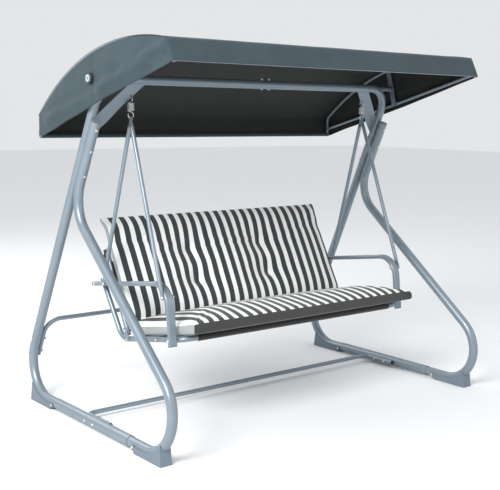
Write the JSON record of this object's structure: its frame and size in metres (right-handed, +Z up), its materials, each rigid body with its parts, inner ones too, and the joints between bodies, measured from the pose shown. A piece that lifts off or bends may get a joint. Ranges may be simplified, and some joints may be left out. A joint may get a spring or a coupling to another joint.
{
  "type": "canopy swing bench",
  "caption": "Garden swing bench with striped cushions, hung on springs from a tube stand under a tilting fabric canopy.",
  "frame": {"origin": "centre of the footprint of the whole object, on the floor", "axes": "+X along the bench, to the right as seen from the front; +Y towards the back of the bench; +Z up"},
  "size_m": [1.9662, 1.2813, 1.7219],
  "materials": {
    "frame_paint": "satin",
    "foot_plastic": "matte",
    "plug_plastic": "matte",
    "knob_plastic": "matte",
    "galvanised": "satin",
    "sling_fabric": "matte",
    "cushion_fabric": "matte",
    "canopy_fabric": "matte"
  },
  "bodies": {
    "frame": {"rear_leg_left": "frame_paint", "rear_leg_right": "frame_paint", "front_leg_left": "frame_paint", "front_leg_right": "frame_paint", "rail_sleeve_left": "frame_paint", "rail_sleeve_right": "frame_paint", "rear_foot_left": "foot_plastic", "rear_foot_right": "foot_plastic", "front_foot_left": "foot_plastic", "front_foot_right": "foot_plastic", "crossbar_left": "frame_paint", "crossbar_right": "frame_paint", "brace_left": "frame_paint", "brace_right": "frame_paint", "low_stretcher_left": "frame_paint", "low_stretcher_right": "frame_paint", "rear_stretcher_left": "frame_paint", "rear_stretcher_right": "frame_paint", "stand_plugs": "plug_plastic", "leg_bolts": "galvanised", "foot_bolts": "galvanised", "stretcher_bolts": "galvanised", "crossbar_bolts": "galvanised"},
    "spring_left": {"spring_left": "galvanised"},
    "spring_right": {"spring_right": "galvanised"},
    "seat": {"front_hanger_left": "frame_paint", "front_hanger_right": "frame_paint", "rear_hanger_left": "frame_paint", "rear_hanger_right": "frame_paint", "seat_tube_left": "frame_paint", "seat_tube_right": "frame_paint", "back_tube_left": "frame_paint", "back_tube_right": "frame_paint", "armrest_left": "frame_paint", "armrest_right": "frame_paint", "rear_cross_rail": "frame_paint", "middle_cross_rail": "frame_paint", "back_brackets": "frame_paint", "seat_plugs": "plug_plastic", "hanger_bolts": "galvanised", "seat_bolts": "galvanised", "seat_sling": "sling_fabric", "back_sling": "sling_fabric", "seat_cushion": "cushion_fabric", "back_cushion": "cushion_fabric"},
    "canopy": {"canopy_rail_left": "frame_paint", "canopy_rail_right": "frame_paint", "canopy_arch_left": "frame_paint", "canopy_arch_right": "frame_paint", "pivot_bar_left": "frame_paint", "pivot_bar_right": "frame_paint", "canopy_rear_tube": "frame_paint", "canopy_top_tube": "frame_paint", "canopy_front_tube": "frame_paint", "canopy_caps": "plug_plastic", "canopy_cover": "canopy_fabric"},
    "knob_left": {"knob_left": "knob_plastic"},
    "knob_right": {"knob_right": "knob_plastic"}
  },
  "joints": [
    {"name": "seat_swing", "type": "hinge", "parent": "frame", "child": "spring_left", "pos_m": [-0.73, 0.03202, 1.47609], "axis": [1, 0, 0], "range_deg": [-18, 18]},
    {"name": "right_spring_swing", "type": "hinge", "parent": "frame", "child": "spring_right", "pos_m": [0.73, 0.03202, 1.47609], "axis": [1, 0, 0], "range_deg": [-18, 18]},
    {"name": "seat_rock", "type": "hinge", "parent": "spring_left", "child": "seat", "pos_m": [-0.73, 0.03202, 1.38989], "axis": [1, 0, 0], "range_deg": [-8, 8]},
    {"name": "canopy_tilt", "type": "hinge", "parent": "frame", "child": "canopy", "pos_m": [0, 0, 1.55816], "axis": [1, 0, 0], "range_deg": [-12, 25]},
    {"name": "knob_left_turn", "type": "hinge", "parent": "frame", "child": "knob_left", "pos_m": [-0.95, 0, 1.55816], "axis": [1, 0, 0], "continuous": true},
    {"name": "knob_right_turn", "type": "hinge", "parent": "frame", "child": "knob_right", "pos_m": [0.95, 0, 1.55816], "axis": [1, 0, 0], "continuous": true}
  ],
  "couplings": [
    {"joint": "right_spring_swing", "follows": "seat_swing", "ratio": 1}
  ]
}
